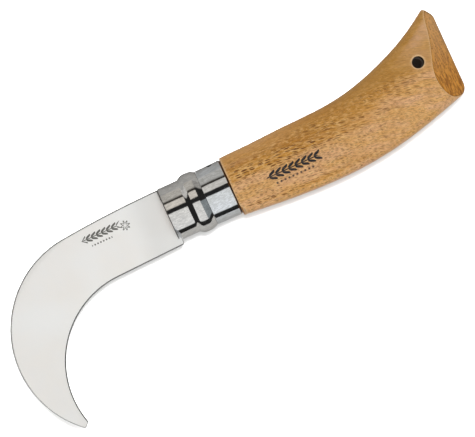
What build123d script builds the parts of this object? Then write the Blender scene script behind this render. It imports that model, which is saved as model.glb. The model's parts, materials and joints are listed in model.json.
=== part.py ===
from build123d import *
from math import cos, radians, sin, tan
import os

# A folding hook knife lies on its side: X runs along the collar towards the butt,
# Y points to the spine side, Z points up. Millimetres.
# Outlines are written from the pivot, which lies on the collar's axis.

# ---- reach of the knife about its pivot: the base of the frame ----
hook_reach = 88.8         # pivot to the outside of the hook
butt_reach = 129.35       # pivot to the flat end of the handle
tip_drop = 66.2           # pivot to the lowest point of the tip
butt_rise = 34.05         # pivot to the highest point of the butt
bead_radius = 13.1        # the widest thing on the knife, which it rests on

pivot = Vector((hook_reach - butt_reach) / 2, (tip_drop - butt_rise) / 2, bead_radius)
side = Plane(origin=pivot)
plan = Plane(origin=pivot, x_dir=(1, 0, 0), z_dir=(0, -1, 0))
collar_axis = Axis(pivot, (1, 0, 0))
pivot_axis = Axis(pivot, (0, 0, 1))
beyond = 80.0             # longer than any cut has to be

# ---- blade ----
blade_thickness = 2.0
spine_rise = 11.45        # spine above the pivot, where it meets the collar
shoulder_x = -5.7         # face of the blade that stops on the collar's rim
spine_radius = 480.0
hook_radius = 43.0        # outside of the hook
hook_centre = Vector(hook_radius - hook_reach, -33.6)
hook_from = 95.5          # angles on the outside of the hook
hook_to = 230.0
edge_radius = 38.9        # sharpened inside of the hook
edge_centre = Vector(-34.0, -53.6)
edge_from = 91.8
edge_to = 196.0
tip_round = 0.9
heel_x = -4.15            # rear face of the heel
heel_top = -10.0
heel_round = 1.2
tang_radius = 8.3         # rounded end of the tang, about the pivot
tang_top = 6.2
edge_thickness = 0.12     # blade at its very edge
bevel_width = 0.45        # small finishing bevel along the edge
bevel_thickness = 0.5
full_width = 25.0         # distance from the edge where the blade has its full thickness
grind_start = -4.0        # the tang behind this is left at full thickness
corner_width = 0.35       # broken corners along the spine and the outside of the hook
corner_depth = 0.6

# ---- pivot rivet ----
rivet_radius = 2.0
rivet_head_radius = 2.9
rivet_head_depth = 0.6
rivet_half_length = 10.5
rivet_play = 0.05

# ---- fixed collar ----
rim_x = -5.6              # front rim of both rings
sleeve_radius = 10.9      # part of the collar that the ring turns on
nose_radius = 10.1        # wood inside the sleeve
tail_nose_radius = 11.2   # wood inside the exposed rear part
sleeve_end = 6.15         # from here the sleeve rises to a rib, which holds the ring along the axis
rib_from = 7.1
rib_to = 10.1
rib_radius = 12.2
groove_from = 10.45       # groove behind the rib
groove_radius = 11.2
step_x = 12.0             # front of the exposed rear part
step_radius = 12.05
tail_x = 22.9             # rear rim of the collar
tail_radius = 12.25
rim_chamfer = 0.3         # broken corners of the collar's and the ring's visible rims
slot_width = 2.6          # blade slot, in the collar and in the wood
punch_x = 18.55           # punch mark that fixes the collar to the wood
punch_angle = 73.0        # from +Z towards the spine side
punch_radius = 1.0
punch_depth = 0.85

# ---- lock ring ----
ring_radius = 11.75
ring_bore = sleeve_radius + 0.05
ring_end = step_x - 0.1
ring_end_radius = 11.9
radial_play = 0.1         # of the ring over the rib and the groove
axial_play = 0.2
bead_x = 8.0              # crown of the bead
bead_start = 3.2          # where the bead starts to rise out of the ring
lip_front = -3.85         # lip that comes under the blade's heel
lip_rear = -1.5
gap_half_angle = 8.5      # gap through the lip, as wide as the blade needs
window_from = -81.5       # opening behind the lip; angles from +Z, -90 is the edge side
window_to = -143.5
ramp_top = -4.8           # the front rim falls back between these two heights
ramp_bottom = -8.75
far_ramp_rise = 2.5

# ---- handle ----
wood_x = tail_x + 0.45    # front of the wooden body, a narrow groove behind the collar
groove_floor = 11.95      # radius of the wood in that groove
# distance from the pivot, top, bottom, half width, height of the widest point, fullness above
# and below that point
handle_sections = [
    (wood_x, 12.78, -13.1, 12.7, -0.2, 0.71, 0.71),
    (31.0, 13.05, -13.75, 12.7, -0.4, 0.71, 0.71),
    (42.0, 13.35, -14.8, 12.55, -0.7, 0.71, 0.71),
    (60.0, 13.95, -15.85, 12.3, -1.0, 0.70, 0.71),
    (75.0, 14.7, -15.7, 12.0, -0.6, 0.68, 0.72),
    (90.0, 17.65, -14.2, 11.6, 0.3, 0.66, 0.73),
    (105.0, 22.9, -11.2, 11.0, 2.2, 0.62, 0.75),
    (118.0, 29.35, -7.7, 10.3, 4.0, 0.585, 0.78),
    (133.0, 38.1, -3.5, 9.8, 6.0, 0.57, 0.80),
]
front_radius = 12.3       # wood where it meets the collar's rear rim
front_round = 1.2
nose_x = -5.0
butt_top = 30.1           # flat end of the handle in side view, between its two corners
butt_bottom = -4.0
butt_top_round = 4.0
butt_bottom_round = 5.0
butt_cut = 100.0          # the outline of the end stays clear of the wood up to here
tip_rise = 24.0           # angle at which the outline rises to the butt's highest corner
tip_fall = 52.0           # and falls from there to the flat end
tip_corner_round = 1.5
under_rise = 21.8         # angle of the outline under the butt
end_slope = 1.15          # each end facet: fall along the knife for its width across
end_round = 3.0
hole_x = 115.1            # lanyard hole
hole_y = 14.7
hole_radius = 2.5
slot_top = 9.3            # slot over the tang
slot_step_x = 12.5
slot_floor = -5.0         # over the straight part of the folded blade
slot_floor_from = 38.0
slot_floor_to = 72.0
slot_pocket_top = 14.5    # over the folded hook
slot_pocket_from = 90.0
slot_end = 101.0


def across(distance):
    """Plane across the knife: its own X is the knife's Y, its own Y is the knife's Z."""
    return Plane(origin=pivot + Vector(distance, 0, 0), x_dir=(0, 1, 0), z_dir=(1, 0, 0))


def on_circle(centre, radius, angle):
    return Vector(centre.X + radius * cos(radians(angle)), centre.Y + radius * sin(radians(angle)))


def handle_section(distance, top, bottom, half_width, widest, fullness_above, fullness_below):
    """One egg-shaped section of the handle, narrower above its widest point."""
    upper = widest + 0.71 * (top - widest)
    lower = widest - 0.71 * (widest - bottom)
    near_side = [
        (top, 0),
        (upper, fullness_above * half_width),
        (widest, half_width),
        (lower, fullness_below * half_width),
        (bottom, 0),
    ]
    with BuildSketch(across(distance)) as section:
        with BuildLine():
            Spline(near_side, tangents=((0, 1), (0, -1)))
            Spline([(y, -z) for y, z in near_side], tangents=((0, -1), (0, 1)))
        make_face()
    return section.sketch


def rivet_solid(mode):
    """The rivet's own shape, with its two countersunk heads. Also cuts its seat."""
    shank_end = rivet_half_length - rivet_head_depth
    with BuildSketch(plan) as half_rivet:
        with BuildLine():
            Polyline(
                (0, -rivet_half_length),
                (rivet_head_radius, -rivet_half_length),
                (rivet_radius, -shank_end),
                (rivet_radius, shank_end),
                (rivet_head_radius, rivet_half_length),
                (0, rivet_half_length),
                close=True,
            )
        make_face()
    revolve(half_rivet.sketch, axis=pivot_axis, mode=mode)


def disc_with_bevelled_rim(centre, radius, mode):
    """A disc as thick as the blade, with the corners of its rim broken."""
    half = blade_thickness / 2
    with BuildSketch(Plane(origin=pivot + centre, x_dir=(1, 0, 0), z_dir=(0, -1, 0))) as half_disc:
        Polygon(
            (0, -half),
            (radius - corner_width, -half),
            (radius, corner_depth - half),
            (radius, half - corner_depth),
            (radius - corner_width, half),
            (0, half),
            align=None,
        )
    revolve(half_disc.sketch, axis=Axis(pivot + centre, (0, 0, 1)), mode=mode)


def ring_opening(from_angle, to_angle, from_x, to_x):
    """Cut the sector between two angles out of a ring, between two places on its axis."""
    reach = 2 * bead_radius
    middle = (from_angle + to_angle) / 2
    corners = [(0, 0)]
    for angle in (from_angle, middle, to_angle):
        corners.append((reach * sin(radians(angle)), reach * cos(radians(angle))))
    with BuildSketch(across(from_x)) as sector:
        Polygon(*corners, align=None)
    extrude(sector.sketch, amount=to_x - from_x, mode=Mode.SUBTRACT)


# ---- handle: one piece of wood, its nose inside the collar ----
with BuildPart() as handle:
    loft([handle_section(*place) for place in handle_sections])

    # rounded front edge behind the collar
    with BuildSketch(side):
        with BuildLine():
            JernArc((wood_x, front_radius), (0, 1), front_round, -90)
            Polyline(
                (wood_x + front_round, front_radius + front_round),
                (wood_x + 2 * front_round, beyond),
                (wood_x + 2 * beyond, beyond),
                (wood_x + 2 * beyond, 0),
                (wood_x, 0),
                (wood_x, front_radius),
            )
        make_face()
    revolve(axis=collar_axis, mode=Mode.INTERSECT)

    # end of the handle in side view; the rounded tip reaches exactly butt_rise
    rise, fall, under = radians(tip_rise), radians(tip_fall), radians(under_rise)
    rounded_off = 1 - (cos(rise) + cos(fall)) / (1 + cos(rise + fall))
    tip_y = butt_rise - rounded_off * tip_corner_round
    tip_x = butt_reach - (tip_y - butt_top) / tan(fall)
    with BuildSketch(side) as butt_outline:
        Polygon(
            (0, beyond),
            (butt_cut, beyond),
            (butt_cut, tip_y - (tip_x - butt_cut) * tan(rise)),
            (tip_x, tip_y),
            (butt_reach, butt_top),
            (butt_reach, butt_bottom),
            (0, butt_bottom - butt_reach * tan(under)),
            align=None,
        )
        for corner, radius in (
            ((tip_x, tip_y), tip_corner_round),
            ((butt_reach, butt_top), butt_top_round),
            ((butt_reach, butt_bottom), butt_bottom_round),
        ):
            fillet(butt_outline.vertices().sort_by_distance(corner)[0], radius)
    extrude(amount=beyond, both=True, mode=Mode.INTERSECT)

    # two facets that meet in a rounded ridge across the butt
    ridge_x = butt_reach + end_round * ((1 + end_slope**2) ** 0.5 - 1)
    with BuildSketch(plan) as butt_plan:
        Polygon(
            (ridge_x - end_slope * beyond, -beyond),
            (ridge_x, 0),
            (ridge_x - end_slope * beyond, beyond),
            (-beyond, beyond),
            (-beyond, -beyond),
            align=None,
        )
        fillet(butt_plan.vertices().sort_by(Axis.X)[-1], end_round)
    extrude(amount=beyond, both=True, mode=Mode.INTERSECT)

    # nose, the same shape as the inside of the collar
    with BuildSketch(side):
        Polygon(
            (nose_x, 0),
            (nose_x, nose_radius),
            (step_x, nose_radius),
            (step_x + 1, tail_nose_radius),
            (tail_x, tail_nose_radius),
            (tail_x, groove_floor),
            (tail_x + 1, groove_floor),
            (tail_x + 1, 0),
            align=None,
        )
    revolve(axis=collar_axis)

    # blade slot, open towards the edge side and at the nose
    with BuildSketch(side):
        Polygon(
            (2 * nose_x, -beyond),
            (2 * nose_x, slot_top),
            (slot_step_x, slot_top),
            (slot_floor_from, slot_floor),
            (slot_floor_to, slot_floor),
            (slot_pocket_from, slot_pocket_top),
            (slot_end, slot_pocket_top),
            (slot_end, -beyond),
            align=None,
        )
    extrude(amount=slot_width / 2, both=True, mode=Mode.SUBTRACT)

    rivet_solid(Mode.SUBTRACT)

    with BuildSketch(side):
        with Locations((hole_x, hole_y)):
            Circle(hole_radius)
    extrude(amount=beyond, both=True, mode=Mode.SUBTRACT)
handle.part.label = "handle"

# ---- fixed collar: slotted steel tube on the nose, stepped up behind the ring ----
with BuildPart() as fixed_collar:
    with BuildSketch(side):
        Polygon(
            (rim_x, nose_radius),
            (rim_x, sleeve_radius),
            (sleeve_end, sleeve_radius),
            (rib_from, rib_radius),
            (rib_to, rib_radius),
            (groove_from, groove_radius),
            (step_x, groove_radius),
            (step_x, step_radius),
            (tail_x - rim_chamfer, tail_radius),
            (tail_x, tail_radius - rim_chamfer),
            (tail_x, tail_nose_radius),
            (step_x + 1, tail_nose_radius),
            (step_x, nose_radius),
            align=None,
        )
    revolve(axis=collar_axis)

    with BuildSketch(across(rim_x - 1)):
        with Locations((-bead_radius, 0)):
            Rectangle(bead_radius, slot_width)
    extrude(amount=beyond, mode=Mode.SUBTRACT)

    punch_axis = Vector(0, sin(radians(punch_angle)), cos(radians(punch_angle)))
    punch_floor = pivot + Vector(punch_x, 0, 0) + punch_axis * (tail_radius - punch_depth)
    with BuildSketch(Plane(origin=punch_floor, x_dir=(1, 0, 0), z_dir=punch_axis)):
        Circle(punch_radius)
    extrude(amount=2 * punch_depth, mode=Mode.SUBTRACT)

    rivet_solid(Mode.SUBTRACT)
fixed_collar.part.label = "fixed_collar"

# ---- lock ring: split ring that snaps over the collar's rib ----
with BuildPart() as lock_ring:
    with BuildSketch(side):
        with BuildLine():
            Polyline(
                (ring_end, ring_end_radius),
                (ring_end, groove_radius + radial_play),
                (groove_from + axial_play, groove_radius + radial_play),
                (rib_to + axial_play, rib_radius + radial_play),
                (rib_from - axial_play, rib_radius + radial_play),
                (sleeve_end - axial_play, ring_bore),
                (rim_x, ring_bore),
                (rim_x, ring_radius - rim_chamfer),
                (rim_x + rim_chamfer, ring_radius),
                (bead_start, ring_radius),
            )
            Spline(
                (bead_start, ring_radius),
                (4.2, 12.15),
                (5.2, 12.75),
                (bead_x, bead_radius),
                tangents=((1, 0), (1, 0)),
            )
            Spline(
                (bead_x, bead_radius),
                (9.9, 12.87),
                (ring_end, ring_end_radius),
                tangents=((1, 0), (1, -0.55)),
            )
        make_face()
    revolve(axis=collar_axis)

    # front rim set back on the edge side, to clear the blade's heel; further round on the far side,
    # where the lip comes from
    for depth, rise in ((beyond, 0), (-beyond, far_ramp_rise)):
        with BuildSketch(side):
            Polygon(
                (2 * rim_x, ramp_top + rise),
                (rim_x, ramp_top + rise),
                (lip_front, ramp_bottom + rise),
                (lip_front, -beyond),
                (2 * rim_x, -beyond),
                align=None,
            )
        extrude(amount=depth, mode=Mode.SUBTRACT)

    ring_opening(-90 + gap_half_angle, -90 - gap_half_angle, rim_x - 1, ring_end + 1)
    ring_opening(window_from, window_to, lip_rear, ring_end + 1)
lock_ring.part.label = "lock_ring"

# ---- blade: hooked plate, ground thin towards the inside of the hook ----
with BuildPart() as blade:
    spine_start = Vector(shoulder_x, spine_rise)
    spine_end = on_circle(hook_centre, hook_radius, hook_from)
    chord = spine_end - spine_start
    to_centre = Vector(-chord.Y, chord.X).normalized()
    spine_centre = spine_start + chord / 2 + to_centre * (spine_radius**2 - (chord.length / 2) ** 2) ** 0.5
    tip_outside = on_circle(hook_centre, hook_radius, hook_to)
    tip_inside = on_circle(edge_centre, edge_radius, edge_to)
    edge_start = on_circle(edge_centre, edge_radius, edge_from)
    edge_rise = (heel_x - edge_start.X) * tan(radians(edge_from - 90))
    heel_corner = Vector(heel_x, edge_start.Y + edge_rise)
    tang_under = on_circle(Vector(0, 0), tang_radius, -80)
    tang_over = Vector((tang_radius**2 - tang_top**2) ** 0.5, tang_top)
    with BuildSketch(side) as blade_outline:
        with BuildLine():
            Line((shoulder_x, tang_top), spine_start)
            RadiusArc(spine_start, spine_end, -spine_radius)
            CenterArc(hook_centre, hook_radius, hook_from, hook_to - hook_from)
            Line(tip_outside, tip_inside)
            CenterArc(edge_centre, edge_radius, edge_to, edge_from - edge_to)
            Line(edge_start, heel_corner)
            Line(heel_corner, (heel_x, heel_top))
            Line((heel_x, heel_top), tang_under)
            ThreePointArc(tang_under, (tang_radius, 0), tang_over)
            Line(tang_over, (shoulder_x, tang_top))
        make_face()
        fillet(blade_outline.vertices().sort_by(Axis.Y)[0:2], tip_round)
        fillet(blade_outline.vertices().sort_by_distance(heel_corner)[0], heel_round)
    extrude(amount=blade_thickness / 2, both=True)

    # thickness of the blade against the distance from its edge
    wedge = [
        (-2, edge_thickness / 2),
        (0, edge_thickness / 2),
        (bevel_width, bevel_thickness / 2),
        (full_width, blade_thickness / 2),
        (beyond, blade_thickness / 2),
    ]
    wedge_corners = wedge + [(away, -half) for away, half in reversed(wedge)]
    edge_end = Plane(
        origin=pivot + edge_centre,
        x_dir=(cos(radians(edge_from)), sin(radians(edge_from)), 0),
        z_dir=(sin(radians(edge_from)), -cos(radians(edge_from)), 0),
    )
    with BuildSketch(edge_end, mode=Mode.PRIVATE) as wedge_face:
        Polygon(*[(edge_radius + away, half) for away, half in wedge_corners], align=None)
    with BuildPart(mode=Mode.PRIVATE) as grind:
        revolve(wedge_face.sketch, axis=Axis(pivot + edge_centre, (0, 0, 1)), revolution_arc=150)
        extrude(wedge_face.sketch, amount=beyond)
        with BuildSketch(side):
            with Locations((grind_start, 0)):
                Rectangle(beyond, beyond, align=(Align.MIN, Align.CENTER))
        extrude(amount=blade_thickness / 2, both=True)
    add(grind.part, mode=Mode.INTERSECT)

    # broken corners along the outside of the hook, and along the spine up to the collar
    with BuildPart(mode=Mode.PRIVATE) as outside:
        disc_with_bevelled_rim(hook_centre, hook_radius, Mode.ADD)
        spine_side = Plane(
            origin=pivot + hook_centre,
            x_dir=(cos(radians(hook_from)), sin(radians(hook_from)), 0),
        )
        with BuildSketch(spine_side):
            Rectangle(2 * beyond, 2 * beyond, align=(Align.CENTER, Align.MAX))
        extrude(amount=blade_thickness / 2, both=True)
        disc_with_bevelled_rim(spine_centre, spine_radius, Mode.INTERSECT)
    add(outside.part, mode=Mode.INTERSECT)

    with BuildSketch(side):
        Circle(rivet_radius + rivet_play)
    extrude(amount=blade_thickness, both=True, mode=Mode.SUBTRACT)
blade.part.label = "blade"

# ---- pivot rivet: through the collar, the wood and the tang, flush under the ring ----
with BuildPart() as pivot_rivet:
    rivet_solid(Mode.ADD)
pivot_rivet.part.label = "pivot_rivet"

os.makedirs("parts", exist_ok=True)
for piece in (handle, fixed_collar, lock_ring, blade, pivot_rivet):
    export_step(piece.part, f"parts/{piece.part.label}.step")
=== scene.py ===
import json
import math

import bpy
from mathutils import Matrix, Vector


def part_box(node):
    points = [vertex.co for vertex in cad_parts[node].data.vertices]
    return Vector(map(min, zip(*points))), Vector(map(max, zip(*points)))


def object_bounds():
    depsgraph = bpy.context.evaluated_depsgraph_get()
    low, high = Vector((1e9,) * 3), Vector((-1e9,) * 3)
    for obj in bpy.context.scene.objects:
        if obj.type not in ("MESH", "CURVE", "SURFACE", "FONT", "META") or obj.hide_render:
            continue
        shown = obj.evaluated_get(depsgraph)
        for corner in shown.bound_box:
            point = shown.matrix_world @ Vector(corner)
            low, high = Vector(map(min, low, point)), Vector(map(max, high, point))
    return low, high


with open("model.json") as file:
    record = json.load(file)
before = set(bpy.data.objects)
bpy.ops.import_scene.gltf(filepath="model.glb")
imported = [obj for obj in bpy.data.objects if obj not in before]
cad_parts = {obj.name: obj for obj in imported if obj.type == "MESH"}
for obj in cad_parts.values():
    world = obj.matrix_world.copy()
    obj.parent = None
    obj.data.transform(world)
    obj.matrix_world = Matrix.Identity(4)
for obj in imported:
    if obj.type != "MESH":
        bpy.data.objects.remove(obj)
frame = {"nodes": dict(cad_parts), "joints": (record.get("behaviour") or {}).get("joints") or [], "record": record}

cad_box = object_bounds()
MM = 0.001

# ---------------------------------------------------------------- places, all from the frame
pivot = Vector(frame["joints"][0]["pos_m"])
hole = Vector(frame["record"]["mounts"][0]["pos_m"])
collar_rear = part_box("fixed_collar")[1].x
ring_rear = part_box("lock_ring")[1].x
middle = (cad_box[0] + cad_box[1]) / 2


def place(x, y):
    """A point on the blade's mid-plane, x mm towards the butt and y mm to the spine side of the pivot."""
    return pivot + Vector((x, y, 0)) * MM


# ---------------------------------------------------------------- node helpers
class Nodes:
    """A small builder for one node tree."""

    def __init__(self, owner):
        owner.use_nodes = True
        self.tree = owner.node_tree
        self.tree.nodes.clear()

    def add(self, kind, inputs=None, **settings):
        node = self.tree.nodes.new(kind)
        for name, value in settings.items():
            setattr(node, name, value)
        for name, value in (inputs or {}).items():
            self.set(node.inputs[name], value)
        return node

    def set(self, socket, value):
        if isinstance(value, bpy.types.NodeSocket):
            self.tree.links.new(value, socket)
        else:
            socket.default_value = value

    def math(self, operation, a, b=0.0, c=0.0, clamp=False):
        node = self.add("ShaderNodeMath", operation=operation, use_clamp=clamp)
        for socket, value in zip(node.inputs, (a, b, c)):
            self.set(socket, value)
        return node.outputs[0]

    def vector(self, operation, a, b=(0, 0, 0), scale=1.0):
        node = self.add("ShaderNodeVectorMath", operation=operation)
        self.set(node.inputs[0], a)
        if operation == "SCALE":
            self.set(node.inputs["Scale"], scale)
        else:
            self.set(node.inputs[1], b)
        return node.outputs["Value" if operation in ("LENGTH", "DOT_PRODUCT") else "Vector"]

    def both(self, *masks):
        """The product of several masks."""
        result = masks[0]
        for mask in masks[1:]:
            result = self.math("MULTIPLY", result, mask)
        return result

    def coordinates(self):
        """Texture coordinates, and the place on the object in mm."""
        coords = self.add("ShaderNodeTexCoord")
        return coords, self.vector("SCALE", coords.outputs["Object"], scale=1 / MM)

    def split(self, vector):
        return self.add("ShaderNodeSeparateXYZ", {"Vector": vector}).outputs

    def join(self, x, y, z):
        return self.add("ShaderNodeCombineXYZ", {"X": x, "Y": y, "Z": z}).outputs[0]

    def stretch(self, x, y, z, per_x, per_y, per_z):
        """A place with each coordinate multiplied by its own number."""
        return self.join(
            self.math("MULTIPLY", x, per_x),
            self.math("MULTIPLY", y, per_y),
            self.math("MULTIPLY", z, per_z),
        )

    def noise(self, vector, scale, detail=3.0, roughness=0.55):
        values = {"Vector": vector, "Scale": scale, "Detail": detail, "Roughness": roughness}
        return self.add("ShaderNodeTexNoise", values).outputs["Fac"]

    def cells(self, vector, scale=1.0, randomness=1.0):
        values = {"Vector": vector, "Scale": scale, "Randomness": randomness}
        return self.add("ShaderNodeTexVoronoi", values)

    def step(self, value, low, high, to_low=0.0, to_high=1.0):
        """Smooth step of a value from low to high."""
        values = {"Value": value, "From Min": low, "From Max": high, "To Min": to_low, "To Max": to_high}
        return self.add("ShaderNodeMapRange", values, interpolation_type="SMOOTHSTEP").outputs[0]

    def step_linear(self, value, low, high):
        """Straight run from 0 at low to 1 at high."""
        values = {"Value": value, "From Min": low, "From Max": high}
        return self.add("ShaderNodeMapRange", values).outputs[0]

    def ramp(self, value, *stops):
        node = self.add("ShaderNodeValToRGB", {"Fac": value})
        stop_list = node.color_ramp.elements
        while len(stop_list) < len(stops):
            stop_list.new(0.5)
        for element, (position, colour) in zip(stop_list, stops):
            element.position = position
            element.color = (*colour, 1)
        return node.outputs["Color"]

    def mix(self, factor, a, b, blend="MIX"):
        node = self.add("ShaderNodeMix", data_type="RGBA", blend_type=blend)
        self.set(node.inputs[0], factor)
        self.set(node.inputs[6], a if isinstance(a, bpy.types.NodeSocket) else (*a, 1))
        self.set(node.inputs[7], b if isinstance(b, bpy.types.NodeSocket) else (*b, 1))
        return node.outputs[2]

    def far_from(self, vector, centre):
        """Distance of a place in mm from a line along Z through a centre in metres."""
        away = self.vector("SUBTRACT", vector, (centre.x / MM, centre.y / MM, 0.0))
        return self.vector("LENGTH", self.vector("MULTIPLY", away, (1, 1, 0)))

    def twig(self, x, y, length, half_height, pitch):
        """A twig along x, as a mask: slanting pairs of leaves on both sides of a stem."""
        up = self.math("DIVIDE", self.math("ABSOLUTE", y), half_height)
        slanted = self.math("MULTIPLY_ADD", up, -0.9 * pitch, x)
        along = self.math("SUBTRACT", self.math("FLOORED_MODULO", slanted, pitch), pitch / 2)
        bow = self.math("MULTIPLY_ADD", up, 2.0, -1.1)
        belly = self.math("MULTIPLY", self.math("MULTIPLY", bow, bow), 0.36 * pitch)
        reach = self.math("ADD", self.math("ABSOLUTE", along), belly)
        leaf = self.step(reach, 0.36 * pitch, 0.42 * pitch, 1.0, 0.0)
        stem = self.step(up, 0.09, 0.15, 1.0, 0.0)
        inside = self.step(self.math("ABSOLUTE", slanted), length / 2 - 0.01, length / 2, 1.0, 0.0)
        return self.math("MULTIPLY", self.math("MAXIMUM", leaf, stem), inside)

    def dots(self, x, y, length, radius, pitch):
        """A row of round dots along x, as a mask."""
        along = self.math("SUBTRACT", self.math("FLOORED_MODULO", x, pitch), pitch / 2)
        distance = self.vector("LENGTH", self.join(along, y, 0.0))
        inside = self.step(self.math("ABSOLUTE", x), length / 2 - 0.01, length / 2, 1.0, 0.0)
        return self.math("MULTIPLY", self.step(distance, 0.8 * radius, 1.1 * radius, 1.0, 0.0), inside)

    def bump(self, height, strength, distance, below=None):
        """A bumped normal; the distance is in metres."""
        values = {"Height": height, "Strength": strength, "Distance": distance}
        node = self.add("ShaderNodeBump", values)
        if below:
            self.set(node.inputs["Normal"], below)
        return node.outputs[0]

    def rounded_edges(self, radius):
        """The normal with edges rounded by a radius in mm, and how near it is to the true normal."""
        rounded = self.add("ShaderNodeBevel", {"Radius": radius * MM}, samples=8).outputs[0]
        true_normal = self.add("ShaderNodeNewGeometry").outputs["Normal"]
        return rounded, self.vector("DOT_PRODUCT", rounded, true_normal)

    def surface(self, **inputs):
        """The finished shader, with its settings and links."""
        shader = self.add("ShaderNodeBsdfPrincipled")
        for name, value in inputs.items():
            self.set(shader.inputs[name.replace("_", " ")], value)
        output = self.add("ShaderNodeOutputMaterial")
        self.tree.links.new(shader.outputs[0], output.inputs[0])
        return shader


def material(name):
    made = bpy.data.materials.new(name)
    return made, Nodes(made)


# ---------------------------------------------------------------- materials
def beech():
    """Oiled beech: soft bands, dark ray flecks along the grain, speckled end grain, edges pale from wear and
    painted highlight, with painted sheen and shade.
    """
    made, n = material("oiled_beech")
    coords, mm = n.coordinates()
    x, y, z = n.split(mm)
    from_pivot = n.math("SUBTRACT", x, pivot.x / MM)
    height = n.math("SUBTRACT", y, pivot.y / MM)
    # the grain runs out of the handle's curve: it slopes more and more towards the butt
    along = n.math("SUBTRACT", from_pivot, 9.0)
    grain_y = n.math("MULTIPLY_ADD", n.math("MULTIPLY", along, along), 0.00136, y)
    wander = n.noise(n.join(n.math("MULTIPLY", x, 0.05), n.math("MULTIPLY", grain_y, 0.08), z), 1.0)
    grain_y = n.math("MULTIPLY_ADD", wander, 3.0, grain_y)
    normal_x, normal_y, normal_z = n.split(coords.outputs["Normal"])

    def grain(per_x, per_y):
        """The place in the grain, in steps of per_x mm along it and per_y mm across it."""
        return n.join(
            n.math("MULTIPLY", x, 1 / per_x),
            n.math("MULTIPLY", grain_y, 1 / per_y),
            n.math("MULTIPLY", z, 1 / per_y),
        )

    def dashes(per_x, per_y, share, seed):
        """Dark dashes along the grain and painted highlights round them for their relief, in this share of a flat
        grid's cells.
        """
        # another part of the grid on the underside
        other_side = n.math("MULTIPLY", n.math("SIGN", normal_z), 40.0)
        flat = n.join(
            n.math("MULTIPLY_ADD", x, 1 / per_x, seed),
            n.math("MULTIPLY_ADD", grain_y, 1 / per_y, other_side),
            0.0,
        )
        grid = n.add("ShaderNodeTexVoronoi", {"Vector": flat, "Scale": 1.0}, voronoi_dimensions="2D")
        chance = n.split(grid.outputs["Color"])[0]
        chosen = n.step(chance, 1 - share, 1 - 0.8 * share, 0.0, 1.0)
        dark = n.step(grid.outputs["Distance"], 0.24, 0.42, 1.0, 0.0)
        # the painted highlight round each dash
        edge = n.math("SUBTRACT", 1.0, dark)
        return n.math("MULTIPLY", dark, chosen), n.math("MULTIPLY", edge, chosen)

    bands = n.noise(grain(60, 7), 1.0, 2.0)
    fibres = n.noise(grain(9, 0.35), 1.0, 4.0, 0.6)
    streaks = n.noise(grain(30, 1.6), 1.0, 2.0)
    tone = n.math("ADD", n.math("MULTIPLY", bands, 0.6), n.math("MULTIPLY", streaks, 0.4))
    colour = n.ramp(
        tone,
        (0.30, (0.49, 0.205, 0.024)),
        (0.5, (0.59, 0.27, 0.040)),
        (0.70, (0.69, 0.345, 0.078)),
    )
    # painted sheen: paler below, towards the butt on all but the top, and on the upper side by the collar,
    # standing in for the light these faces catch
    towards_butt = n.step(from_pivot, 55.0, 115.0)
    below = n.step(normal_y, -0.15, 0.20, 0.62, 0.0)
    sheen_towards_butt = n.math("MULTIPLY", towards_butt, n.step(normal_y, 0.10, 0.45, 0.85, 0.0))
    near_collar = n.step(from_pivot, 30.0, 70.0, 0.35, 0.0)
    sheen_by_collar = n.math("MULTIPLY", near_collar, n.step(normal_y, 0.45, 0.70))
    pale_clouds = n.noise(grain(16, 5), 1.0, 2.0)
    pale = n.ramp(pale_clouds, (0.40, (0.81, 0.44, 0.150)), (0.60, (0.87, 0.50, 0.270)))
    colour = n.mix(n.math("MAXIMUM", sheen_by_collar, n.math("MAXIMUM", below, sheen_towards_butt)), colour, pale)
    fibre_shade = n.step(fibres, 0.35, 0.7, 0.88, 1.09)
    colour = n.mix(1.0, colour, n.join(fibre_shade, fibre_shade, fibre_shade), "MULTIPLY")

    # mottled, except on the smooth top of the butt, which painted shade also makes a little darker and cooler in
    # colour
    mottle = n.noise(grain(2.2, 0.62), 1.0, 2.0, 0.75)
    mottled = n.step(normal_y, 0.55, 0.85, 1.0, 0.45)
    above_hole = n.step(n.math("SUBTRACT", y, hole.y / MM), -6.0, 1.0)
    smooth_shaded_top = n.math("MULTIPLY", n.step(from_pivot, 55.0, 90.0, 0.0, 0.75), above_hole)
    # painted shade: darker and cooler on the top of the butt
    colour = n.mix(smooth_shaded_top, colour, (0.82, 0.88, 1.08), "MULTIPLY")
    not_smooth = n.math("SUBTRACT", 1.0, smooth_shaded_top)
    mottled = n.math("MULTIPLY", mottled, not_smooth)
    dark_mottle = n.math("MULTIPLY", n.step(mottle, 0.38, 0.48, 0.42, 0.0), mottled)
    pale_mottle = n.math("MULTIPLY", n.step(mottle, 0.53, 0.64, 0.0, 0.50), mottled)
    colour = n.mix(dark_mottle, colour, (0.24, 0.085, 0.008))
    colour = n.mix(pale_mottle, colour, (0.93, 0.60, 0.25))

    # flecks are long where the surface runs with the growth rings, and small and dense below
    patches = n.step(n.noise(grain(22, 6), 1.0, 1.0), 0.36, 0.56, 0.35, 1.0)
    long_zone = n.both(n.step(normal_y, -0.30, 0.05), n.step(normal_y, 0.45, 0.75, 1.0, 0.0))
    fine_zone = n.step(normal_y, -0.05, 0.15, 1.0, 0.15)
    # none on the sides, where the flat grid would draw them as stripes
    not_sides = n.step(n.math("ABSOLUTE", normal_z), 0.15, 0.45)
    fading = n.both(n.step(from_pivot, 65.0, 95.0, 1.0, 0.6), not_smooth, not_sides)
    long_share = n.both(long_zone, patches, fading)
    fine_share = n.both(fine_zone, 0.5, fading)
    long_fleck, fine_fleck = dashes(3.8, 0.55, share=0.6, seed=0.0), dashes(2.0, 0.5, share=0.6, seed=7.0)
    fleck, fleck_highlight = (
        n.math("MAXIMUM", n.math("MULTIPLY", long, long_share), n.math("MULTIPLY", fine, fine_share))
        for long, fine in zip(long_fleck, fine_fleck)
    )
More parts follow.
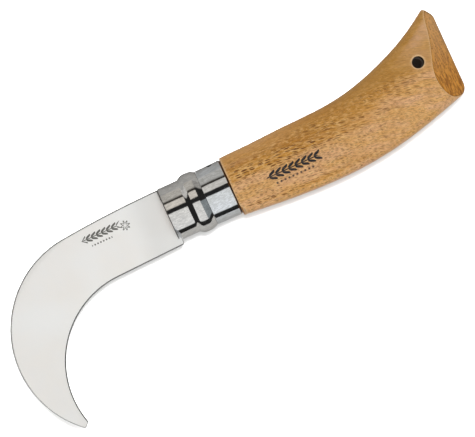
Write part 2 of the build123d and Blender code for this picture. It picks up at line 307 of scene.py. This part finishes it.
    # painted highlight round each fleck, standing in for its relief
    colour = n.mix(n.math("MULTIPLY", fleck_highlight, 0.34), colour, (0.95, 0.62, 0.27))
    colour = n.mix(fleck, colour, (0.14, 0.040, 0.0))

    # the cut end shows its pores
    end_grain = n.step(n.math("ABSOLUTE", normal_x), 0.45, 0.60)
    pores = n.step(n.cells(mm, 0.95).outputs["Distance"], 0.16, 0.42, 1.0, 0.0)
    rays = n.noise(n.join(x, n.math("MULTIPLY", y, 0.25), n.math("MULTIPLY", z, 1.3)), 1.1, 3.0)
    end_colour = n.ramp(rays, (0.40, (0.42, 0.145, 0.008)), (0.58, (0.80, 0.34, 0.042)))
    towards_tip = n.step(height, 0.0, 28.0)
    end_colour = n.mix(n.math("MULTIPLY", towards_tip, 0.6), end_colour, (0.80, 0.46, 0.19))
    end_colour = n.mix(n.math("MULTIPLY", pores, 0.5), end_colour, (0.24, 0.075, 0.004))
    colour = n.mix(end_grain, colour, end_colour)

    # sharp edges are painted pale, partly rubbed wear and partly a painted highlight, and the cut ends get painted
    # shade beside them
    rounded, flatness = n.rounded_edges(1.9)
    rubbed = n.step(flatness, 0.94, 0.998, 0.8, 0.0)
    # painted highlight on the side grain, painted shade beside the cut ends
    edge_highlight_and_shade = n.mix(end_grain, (0.92, 0.62, 0.33), (0.30, 0.115, 0.016))
    colour = n.mix(rubbed, colour, edge_highlight_and_shade)

    # painted shade: dark inside the lanyard hole and in the groove behind the collar; the hole's pale rim is
    # partly wear and partly a painted highlight
    from_hole = n.far_from(mm, hole)
    # pale rim: partly wear, partly painted highlight
    colour = n.mix(n.step(from_hole, 2.65, 3.3, 0.45, 0.0), colour, (0.86, 0.60, 0.34))
    # painted shade inside the lanyard hole
    colour = n.mix(n.step(from_hole, 2.52, 2.60, 1.0, 0.0), colour, (0.020, 0.010, 0.003))
    # painted shade in the groove behind the collar
    behind_collar = n.math("SUBTRACT", x, collar_rear / MM)
    groove_shade = n.both(n.step(behind_collar, -0.2, -0.1), n.step(behind_collar, 0.40, 0.46, 1.0, 0.0))
    colour = n.mix(groove_shade, colour, (0.030, 0.014, 0.005))

    # printed mark on the upper side
    mark_x = n.math("SUBTRACT", from_pivot, 49.5)
    twig = n.twig(mark_x, n.math("SUBTRACT", height, -3.1), length=23.2, half_height=2.0, pitch=2.9)
    dots = n.dots(mark_x, n.math("SUBTRACT", height, -6.6), length=18.0, radius=0.50, pitch=1.8)
    mark = n.math("MAXIMUM", twig, n.math("MULTIPLY", dots, 0.85))
    worn_ink = n.both(mark, n.step(normal_z, 0.2, 0.3), n.step(fibres, 0.3, 0.5, 0.85, 1.0))
    colour = n.mix(worn_ink, colour, (0.002, 0.001, 0.003))

    relief = n.math("SUBTRACT", n.math("MULTIPLY", fibres, 0.35), n.math("MULTIPLY", fleck, 0.8))
    bumped = n.bump(relief, strength=0.35, distance=0.06 * MM, below=rounded)
    roughness = n.step(fibres, 0.3, 0.7, 0.28, 0.38)
    n.surface(Base_Color=colour, Roughness=roughness, Normal=bumped, Specular_IOR_Level=0.5)
    return made


def polished_steel(name, node, darker, lighter):
    """Mirror-polished stainless steel with faint polishing lines round it and a few rubbed marks."""
    rim_front, rim_rear = (corner.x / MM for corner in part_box(node))
    made, n = material(name)
    mm = n.coordinates()[1]
    x, y, z = n.split(mm)
    lines = n.noise(n.stretch(x, y, z, 9.0, 0.12, 0.12), 1.0, 4.0)
    clouds = n.noise(mm, 0.35, 3.0)
    roughness = n.math("ADD", n.step(lines, 0.3, 0.75, 0.035, 0.09), n.step(clouds, 0.4, 0.8, 0.0, 0.05))
    rubs = n.noise(n.stretch(x, y, z, 0.5, 1.3, 1.3), 1.0, 4.0, 0.7)
    colour = n.ramp(clouds, (0.35, darker), (0.65, lighter))
    colour = n.mix(n.step(rubs, 0.42, 0.60, 0.32, 0.0), colour, (0.40, 0.40, 0.39))
    # painted shade, with dull roughness: dark in the punch mark and, more lightly at the rear, along both rims
    off_y = n.math("SUBTRACT", y, pivot.y / MM)
    off_z = n.math("SUBTRACT", z, pivot.z / MM)
    from_axis = n.vector("LENGTH", n.join(0.0, off_y, off_z))
    behind_ring = n.step(x, ring_rear / MM + 0.3, ring_rear / MM + 0.5)
    in_recess = n.math("MULTIPLY", n.step(from_axis, 11.8, 12.02, 1.0, 0.0), behind_ring)
    at_front_rim = n.step(x, rim_front + 0.28, rim_front + 0.45, 0.85, 0.0)
    at_rear_rim = n.step(x, rim_rear - 0.3, rim_rear - 0.15, 0.0, 0.35)
    at_rim = n.math("MAXIMUM", at_front_rim, at_rear_rim)
    rim_and_recess_shade = n.math("MAXIMUM", in_recess, at_rim)
    colour = n.mix(rim_and_recess_shade, colour, (0.05, 0.045, 0.04))
    roughness = n.math("MAXIMUM", roughness, n.math("MULTIPLY", rim_and_recess_shade, 0.7))
    # the sleeve under the ring is only turned, not polished
    roughness = n.math("MAXIMUM", roughness, n.step(from_axis, 11.0, 11.2, 0.35, 0.0))
    waves = n.bump(n.noise(mm, 0.16, 1.0), strength=0.5, distance=0.08 * MM)
    n.surface(
        Base_Color=colour, Metallic=1.0, Roughness=roughness,
        Normal=n.bump(lines, strength=0.25, distance=0.012 * MM, below=waves),
    )
    return made


def satin_blade():
    """Fine satin stainless steel, its grinding lines running across the blade from spine to edge."""
    made, n = material("satin_blade_steel")
    coords, mm = n.coordinates()
    hook_centre = place(-34.0, -53.6) / MM
    away = n.vector("SUBTRACT", mm, (hook_centre.x, hook_centre.y, 0.0))
    x, y = n.split(away)[:2]
    angle = n.math("ARCTAN2", y, x)
    reach = n.vector("LENGTH", n.join(x, y, 0.0))
    lines = n.noise(n.stretch(angle, reach, 0.0, 260.0, 0.15, 1.0), 1.0, 4.0, 0.65)
    clouds = n.noise(mm, 0.05, 3.0)
    colour = n.ramp(clouds, (0.35, (0.91, 0.91, 0.90)), (0.65, (0.94, 0.92, 0.89)))
    roughness = n.math("ADD", n.step(lines, 0.3, 0.7, 0.30, 0.38), n.step(clouds, 0.3, 0.7, 0.0, 0.05))
    # a little darker beside the ring
    from_pivot, height = n.split(n.vector("SUBTRACT", mm, pivot / MM))[:2]
    darker_by_ring = n.step(n.math("MULTIPLY_ADD", clouds, 6.0, from_pivot), -22.0, -10.0, 0.0, 0.65)
    colour = n.mix(darker_by_ring, colour, (0.78, 0.78, 0.77))
    # the ground bevels and the broken corners are coloured dark: partly their coarser grind, partly a painted dark
    # reflection of the surroundings they face
    normal_z = n.split(coords.outputs["Normal"])[2]
    flatness = n.rounded_edges(0.8)[1]
    at_corner = n.step(flatness, 0.94, 0.992, 0.85, 0.0)
    slanted = n.step(n.math("ABSOLUTE", normal_z), 0.935, 0.985, 1.0, 0.0)
    colour = n.mix(n.math("MAXIMUM", at_corner, slanted), colour, (0.12, 0.12, 0.12))
    # etched mark on the upper side
    mark_x = n.math("SUBTRACT", from_pivot, -35.0)
    twig = n.twig(mark_x, n.math("SUBTRACT", height, 4.9), length=16.0, half_height=1.6, pitch=2.3)
    dots = n.dots(mark_x, n.math("SUBTRACT", height, 1.5), length=9.2, radius=0.38, pitch=1.3)
    petals_x = n.math("SUBTRACT", from_pivot, -23.6)
    petals_y = n.math("SUBTRACT", height, 3.6)
    turn = n.math("ARCTAN2", petals_y, petals_x)
    petals, petal_height, rosette_radius = 8.0, 0.55, 1.75
    wave = n.math("COSINE", n.math("MULTIPLY", turn, petals))
    petal_reach = n.math("MULTIPLY_ADD", wave, petal_height, rosette_radius)
    inside = n.math("SUBTRACT", n.vector("LENGTH", n.join(petals_x, petals_y, 0.0)), petal_reach)
    rosette = n.step(n.math("ABSOLUTE", n.math("ADD", inside, 0.45)), 0.28, 0.42, 1.0, 0.0)
    mark = n.math("MAXIMUM", n.math("MAXIMUM", twig, dots), rosette)
    etched = n.both(mark, n.step(normal_z, 0.2, 0.3), 0.95)
    colour = n.mix(etched, colour, (0.13, 0.13, 0.12))
    bumped = n.bump(lines, strength=0.2, distance=0.015 * MM)
    n.surface(Base_Color=colour, Metallic=1.0, Roughness=roughness, Normal=bumped)
    return made


def plain_steel():
    """Rivet steel: turned finish with dull rings on its heads."""
    made, n = material("rivet_steel")
    mm = n.coordinates()[1]
    away = n.vector("SUBTRACT", mm, (pivot.x / MM, pivot.y / MM, 0.0))
    x, y, z = n.split(away)
    rings = n.noise(n.join(n.vector("LENGTH", n.join(x, y, 0.0)), 0.0, z), 6.0, 3.0)
    colour = n.ramp(rings, (0.3, (0.55, 0.55, 0.54)), (0.7, (0.70, 0.70, 0.68)))
    n.surface(Base_Color=colour, Metallic=1.0, Roughness=n.step(rings, 0.3, 0.7, 0.28, 0.42))
    return made


def dress(node, made):
    """Gives a CAD node its material; the mesh itself stays as it is."""
    mesh = frame["nodes"][node].data
    mesh.materials.clear()
    mesh.materials.append(made)


# ---------------------------------------------------------------- stage, light, camera
def flat_sheet(name, low, high, height):
    """A level rectangle of the stage, at that height in metres."""
    mesh = bpy.data.meshes.new(name)
    corners = [(low[0], low[1], 0), (high[0], low[1], 0), (high[0], high[1], 0), (low[0], high[1], 0)]
    mesh.from_pydata(corners, [], [(0, 1, 2, 3)])
    sheet = bpy.data.objects.new(name, mesh)
    bpy.context.scene.collection.objects.link(sheet)
    sheet.location.z = height
    made, n = material(name)
    mesh.materials.append(made)
    return sheet, n


def matt(n, colour):
    """A plain diffuse surface."""
    shader = n.add("ShaderNodeBsdfDiffuse", {"Color": colour})
    output = n.add("ShaderNodeOutputMaterial")
    n.tree.links.new(shader.outputs[0], output.inputs[0])


def stage():
    """A pale floor for the camera, and a grey card that the knife's own surfaces see in its place."""
    floor, n = flat_sheet("floor", (-3, -3), (3, 3), -0.0002)
    # a painted shadow under the lanyard hole, so that the hole looks dark from above
    mm = n.coordinates()[1]
    level = n.step(n.far_from(mm, hole), 2.0, 6.0, 0.05, 0.85)
    matt(n, n.join(level, level, level))
    floor.visible_glossy = False
    floor.visible_diffuse = False
    floor.visible_shadow = False
    card, n = flat_sheet("grey_card", (-0.6, pivot.y - 0.106), (0.6, pivot.y + 0.5), -0.0004)
    y = n.split(n.add("ShaderNodeTexCoord").outputs["Object"])[1]
    # painted light: lighter on the edge side, making up for the knife's shadow that falls there
    level = n.step(y, pivot.y - 0.012, pivot.y + 0.004, 0.67, 0.51)
    matt(n, n.join(level, level, level))
    card.visible_camera = False
    card.visible_shadow = False
    # keeps the light from shining down through the lanyard hole; the camera doesn't see it
    half = 2.5 * MM
    low, high = (hole.x - half, hole.y - half), (hole.x + half, hole.y + half)
    shade, n = flat_sheet("hole_shade", low, high, hole.z)
    matt(n, (0.01, 0.01, 0.01, 1))
    shade.visible_camera = False
    return floor


# Light of the studio against the angle round the knife's own direction: 0 is overhead,
# positive on the spine side. Dark strips between the panels give polished steel its lines.
BLACK = (0.02, 0.02, 0.02)
OVERHEAD = [
    (-180, BLACK),
    (-80, BLACK),
    (-78, (0.83, 0.84, 0.85)),
    (0, (0.83, 0.83, 0.82)),
    (2, BLACK),
    (18, BLACK),
    (20, (0.71, 0.67, 0.62)),
    (44, (0.71, 0.67, 0.62)),
    (46.5, (0.04, 0.035, 0.03)),
    (52, (0.04, 0.035, 0.03)),
    (59, (0.50, 0.48, 0.45)),
    (90, (0.50, 0.48, 0.45)),
]
BLADE_END = [
    (-180, BLACK),
    (46, BLACK),
    (54, (0.62, 0.61, 0.60)),
    (90, (0.62, 0.61, 0.60)),
]
BUTT_END = [
    (-180, BLACK),
    (-84, BLACK),
    (-80, (0.26, 0.29, 0.31)),
    (-4, (0.26, 0.29, 0.31)),
    (-1, BLACK),
    (54, BLACK),
    (62, (0.36, 0.35, 0.34)),
    (90, (0.36, 0.35, 0.34)),
]


def studio():
    """The world: pale for the camera, and panels with dark strips for everything else."""
    world = bpy.data.worlds.new("studio")
    bpy.context.scene.world = world
    n = Nodes(world)
    x, y, z = n.split(n.add("ShaderNodeTexCoord").outputs["Generated"])
    angle = n.math("ARCTAN2", y, z)
    place_on_ramp = n.step_linear(angle, -math.pi, math.pi)
    overhead, blade_end, butt_end = (
        n.ramp(place_on_ramp, *[((degrees + 180) / 360, colour) for degrees, colour in bands])
        for bands in (OVERHEAD, BLADE_END, BUTT_END)
    )
    # overhead in between, the two ends beyond, and plain grey straight along the knife
    light = n.mix(n.step(x, -0.54, -0.46, 1.0, 0.0), overhead, blade_end)
    light = n.mix(n.step(x, 0.22, 0.30), light, butt_end)
    light = n.mix(n.step(n.math("ABSOLUTE", x), 0.93, 0.97), light, (0.5, 0.5, 0.5))
    seen = n.add("ShaderNodeLightPath").outputs["Is Camera Ray"]
    light = n.mix(seen, light, (0.9, 0.9, 0.9))
    background = n.add("ShaderNodeBackground", {"Color": light})
    output = n.add("ShaderNodeOutputWorld")
    n.tree.links.new(background.outputs[0], output.inputs[0])
    view = bpy.context.scene.view_settings
    view.view_transform = "Standard"
    view.look = "None"


def softbox(name, where, size, watts, colour=(1.0, 0.98, 0.95), only=None, gloss=False):
    """A large soft light that faces the knife, for everything or for one object only."""
    light = bpy.data.lights.new(name, "AREA")
    light.shape = "SQUARE"
    light.size = size
    light.energy = watts
    light.color = colour
    made = bpy.data.objects.new(name, light)
    bpy.context.scene.collection.objects.link(made)
    made.location = where
    made.rotation_euler = (middle - made.location).to_track_quat("-Z", "Y").to_euler()
    made.visible_glossy = gloss
    made.visible_camera = False
    if only:
        lit = bpy.data.collections.new(name + "_lights")
        lit.objects.link(only)
        made.light_linking.receiver_collection = lit


def lights(floor):
    """Two lights for everything, and others that shine on the floor or on the blade only."""
    softbox("edge_side_softbox", Vector((0.1, -1.0, 1.1)), size=0.9, watts=9)
    softbox("spine_side_softbox", Vector((-0.2, 1.1, 1.0)), size=0.9, watts=8)
    for_floor = {"colour": (1, 1, 1), "only": floor}
    softbox("floor_softbox", Vector((0.1, 0.5, 1.3)), size=1.4, watts=29, **for_floor)
    softbox("floor_key", Vector((0.08, 0.17, 1.3)), size=0.16, watts=18.5, **for_floor)
    for_blade = {"colour": (1, 0.99, 0.97), "only": frame["nodes"]["blade"], "gloss": True}
    softbox("blade_softbox", Vector((-0.1, -0.1, 1.2)), size=1.3, watts=2.1, **for_blade)
    # a ring of low ones that the flat of the blade only mirrors when it is seen from the side
    distance, height = 1.4, 0.6
    for turn in range(0, 360, 60):
        where = Vector((math.cos(math.radians(turn)), math.sin(math.radians(turn)), 0)) * distance
        where.z = height
        softbox(f"low_softbox_{turn}", where, size=1.4, watts=2.4, **for_blade)


def camera():
    """Looks straight down, rolled so that the handle rises to the right."""
    roll = math.radians(-24.5)
    view_width = 197.9 * MM
    height = 1.5
    data = bpy.data.cameras.new("camera")
    data.sensor_width = 36.0
    data.lens = data.sensor_width * height / view_width
    data.clip_end = 20.0
    made = bpy.data.objects.new("camera", data)
    bpy.context.scene.collection.objects.link(made)
    off_middle = Vector((-0.1, 2.9, 0)) * MM
    target = middle + off_middle
    made.matrix_world = Matrix.Translation(target + Vector((0, 0, height))) @ Matrix.Rotation(roll, 4, "Z")
    bpy.context.scene.camera = made


camera()
studio()
lights(stage())
dress("handle", beech())
dress("fixed_collar", polished_steel("collar_steel", "fixed_collar", (0.76, 0.79, 0.80), (0.86, 0.89, 0.92)))
dress("lock_ring", polished_steel("ring_steel", "lock_ring", (0.76, 0.75, 0.73), (0.88, 0.87, 0.84)))
dress("blade", satin_blade())
dress("pivot_rivet", plain_steel())
